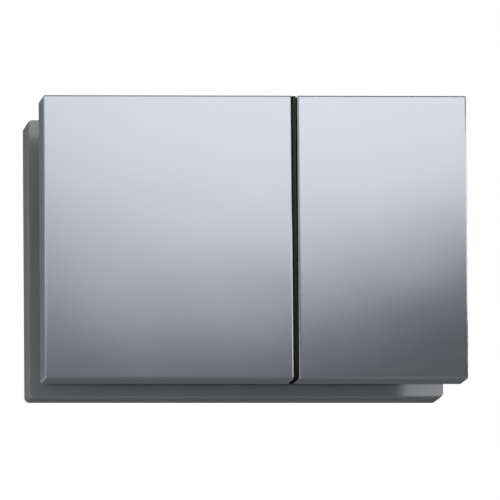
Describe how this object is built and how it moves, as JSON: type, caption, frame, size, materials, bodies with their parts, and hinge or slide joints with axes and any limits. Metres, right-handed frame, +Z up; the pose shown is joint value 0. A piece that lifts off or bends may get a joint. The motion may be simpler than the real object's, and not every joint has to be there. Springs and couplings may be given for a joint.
{
  "type": "flush button plate",
  "caption": "Rectangular flush plate with a wide and a narrow chrome rocker button over a shallow grey wall frame; each button drives a sprung plunger and push rod into a concealed cistern.",
  "frame": {"origin": "middle of the plate, on the wall face that the base frame's rim rests on", "axes": "+X to the right along the wall, +Y into the wall, +Z up; the buttons face -Y"},
  "size_m": [0.246, 0.0792, 0.165],
  "materials": {
    "chromed_abs": "mirror-bright chrome plating on moulded ABS",
    "frame_abs": "satin moulded ABS",
    "strip_abs": "polished moulded ABS",
    "mounting_pp": "matt moulded polypropylene",
    "sleeve_pp": "satin moulded polypropylene",
    "pin_steel": "ground stainless steel",
    "bumper_rubber": "matt moulded rubber",
    "plunger_pom": "satin moulded acetal",
    "spring_steel": "bright drawn spring wire",
    "clip_steel": "dark phosphated spring steel",
    "zinc_steel": "bright zinc plating",
    "nut_nylon": "satin moulded nylon"
  },
  "bodies": {
    "frame": {"base_frame": "frame_abs", "mounting_frame": "mounting_pp", "divider_strip": "strip_abs", "full_upper_hinge_pin": "pin_steel", "full_lower_hinge_pin": "pin_steel", "half_upper_hinge_pin": "pin_steel", "half_lower_hinge_pin": "pin_steel", "full_upper_bumper": "bumper_rubber", "full_lower_bumper": "bumper_rubber", "half_upper_bumper": "bumper_rubber", "half_lower_bumper": "bumper_rubber", "full_guide_sleeve": "sleeve_pp", "half_guide_sleeve": "sleeve_pp", "full_return_spring": "spring_steel", "half_return_spring": "spring_steel", "left_fixing_stud": "zinc_steel", "right_fixing_stud": "zinc_steel", "left_washer": "zinc_steel", "right_washer": "zinc_steel", "left_thumb_nut": "nut_nylon", "right_thumb_nut": "nut_nylon"},
    "full_button": {"full_flush_button": "chromed_abs"},
    "half_button": {"half_flush_button": "chromed_abs"},
    "full_plunger_set": {"full_plunger": "plunger_pom", "full_retaining_clip": "clip_steel", "full_push_rod": "zinc_steel", "full_lock_nut": "zinc_steel"},
    "half_plunger_set": {"half_plunger": "plunger_pom", "half_retaining_clip": "clip_steel", "half_push_rod": "zinc_steel", "half_lock_nut": "zinc_steel"}
  },
  "joints": [
    {"name": "full_button_rock", "type": "hinge", "parent": "frame", "child": "full_button", "pos_m": [-0.105, -0.009, 0], "axis": [0, 0, 1], "range_deg": [0, 3.25], "stiffness_Nm_per_rad": 7, "springref_deg": -2.86},
    {"name": "half_button_rock", "type": "hinge", "parent": "frame", "child": "half_button", "pos_m": [0.105, -0.009, 0], "axis": [0, 0, -1], "range_deg": [0, 5.2], "stiffness_Nm_per_rad": 7, "springref_deg": -2.86},
    {"name": "full_plunger_slide", "type": "slide", "parent": "frame", "child": "full_plunger_set", "axis": [0, 1, 0], "range_m": [0, 0.004], "deforming": ["full_return_spring"]},
    {"name": "half_plunger_slide", "type": "slide", "parent": "frame", "child": "half_plunger_set", "axis": [0, 1, 0], "range_m": [0, 0.0064], "deforming": ["half_return_spring"]}
  ],
  "couplings": [
    {"joint": "full_plunger_slide", "follows": "full_button_rock", "m_per_rad": 0.07},
    {"joint": "half_plunger_slide", "follows": "half_button_rock", "m_per_rad": 0.07}
  ]
}
